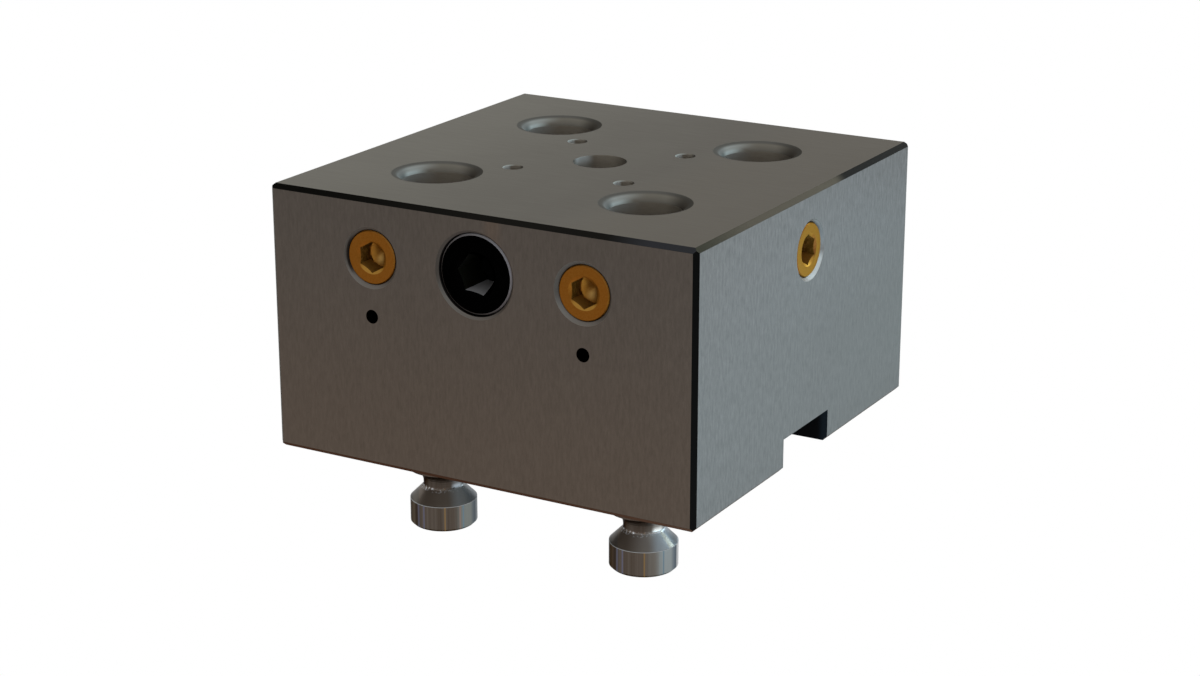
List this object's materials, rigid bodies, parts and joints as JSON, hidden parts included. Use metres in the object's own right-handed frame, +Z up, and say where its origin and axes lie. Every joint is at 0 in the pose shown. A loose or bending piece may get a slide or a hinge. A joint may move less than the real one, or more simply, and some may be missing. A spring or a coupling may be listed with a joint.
{
  "type": "riser block",
  "caption": "Square steel riser block with four clamping receivers in its top and two pull studs below, locked by one drive screw.",
  "frame": {"origin": "centre of the block's underside, in the plane that seats on the base below", "axes": "+X to the block's right side, where the single plug is, +Y to its rear, away from the drive screw, +Z up"},
  "size_m": [0.104, 0.104, 0.0817],
  "materials": {
    "ground_steel": "ground and brushed tool steel",
    "black_oxide": "black oxide on steel, semi-gloss",
    "hardened_steel": "hardened and ground",
    "gold_finish": "gold-coloured coating on steel, satin",
    "turned_steel": "bright turned steel"
  },
  "bodies": {
    "block": {"block_body": "ground_steel", "bore_plug_front_left": "gold_finish", "bore_plug_front_right": "gold_finish", "bore_plug_side": "gold_finish", "pull_stud_left": "turned_steel", "pull_stud_right": "turned_steel"},
    "thrust": {"thrust_cone": "hardened_steel"},
    "drive": {"drive_screw": "black_oxide"},
    "plunger_left": {"cross_plunger_left": "hardened_steel"},
    "plunger_right": {"cross_plunger_right": "hardened_steel"},
    "pin_front_left": {"clamp_pin_front_left": "hardened_steel"},
    "pin_front_right": {"clamp_pin_front_right": "hardened_steel"},
    "pin_rear_left": {"clamp_pin_rear_left": "hardened_steel"},
    "pin_rear_right": {"clamp_pin_rear_right": "hardened_steel"}
  },
  "joints": [
    {"name": "thrust_slide", "type": "slide", "parent": "block", "child": "thrust", "axis": [0, 1, 0], "range_m": [0, 0.0045]},
    {"name": "drive_turn", "type": "hinge", "parent": "thrust", "child": "drive", "pos_m": [0, -0.05135, 0.047], "axis": [0, 1, 0], "range_deg": [0, 1080]},
    {"name": "plunger_left_slide", "type": "slide", "parent": "block", "child": "plunger_left", "axis": [-1, 0, 0], "range_m": [0, 0.0026]},
    {"name": "plunger_right_slide", "type": "slide", "parent": "block", "child": "plunger_right", "axis": [1, 0, 0], "range_m": [0, 0.0026]},
    {"name": "pin_front_left_slide", "type": "slide", "parent": "block", "child": "pin_front_left", "axis": [0, -1, 0], "range_m": [0, 0.0026]},
    {"name": "pin_front_right_slide", "type": "slide", "parent": "block", "child": "pin_front_right", "axis": [0, -1, 0], "range_m": [0, 0.0026]},
    {"name": "pin_rear_left_slide", "type": "slide", "parent": "block", "child": "pin_rear_left", "axis": [0, 1, 0], "range_m": [0, 0.0026]},
    {"name": "pin_rear_right_slide", "type": "slide", "parent": "block", "child": "pin_rear_right", "axis": [0, 1, 0], "range_m": [0, 0.0026]}
  ],
  "couplings": [
    {"joint": "drive_turn", "follows": "thrust_slide", "rad_per_m": 4188.8},
    {"joint": "plunger_left_slide", "follows": "thrust_slide", "ratio": 0.57735},
    {"joint": "plunger_right_slide", "follows": "thrust_slide", "ratio": 0.57735},
    {"joint": "pin_front_left_slide", "follows": "thrust_slide", "ratio": 0.57735},
    {"joint": "pin_front_right_slide", "follows": "thrust_slide", "ratio": 0.57735},
    {"joint": "pin_rear_left_slide", "follows": "thrust_slide", "ratio": 0.57735},
    {"joint": "pin_rear_right_slide", "follows": "thrust_slide", "ratio": 0.57735}
  ]
}
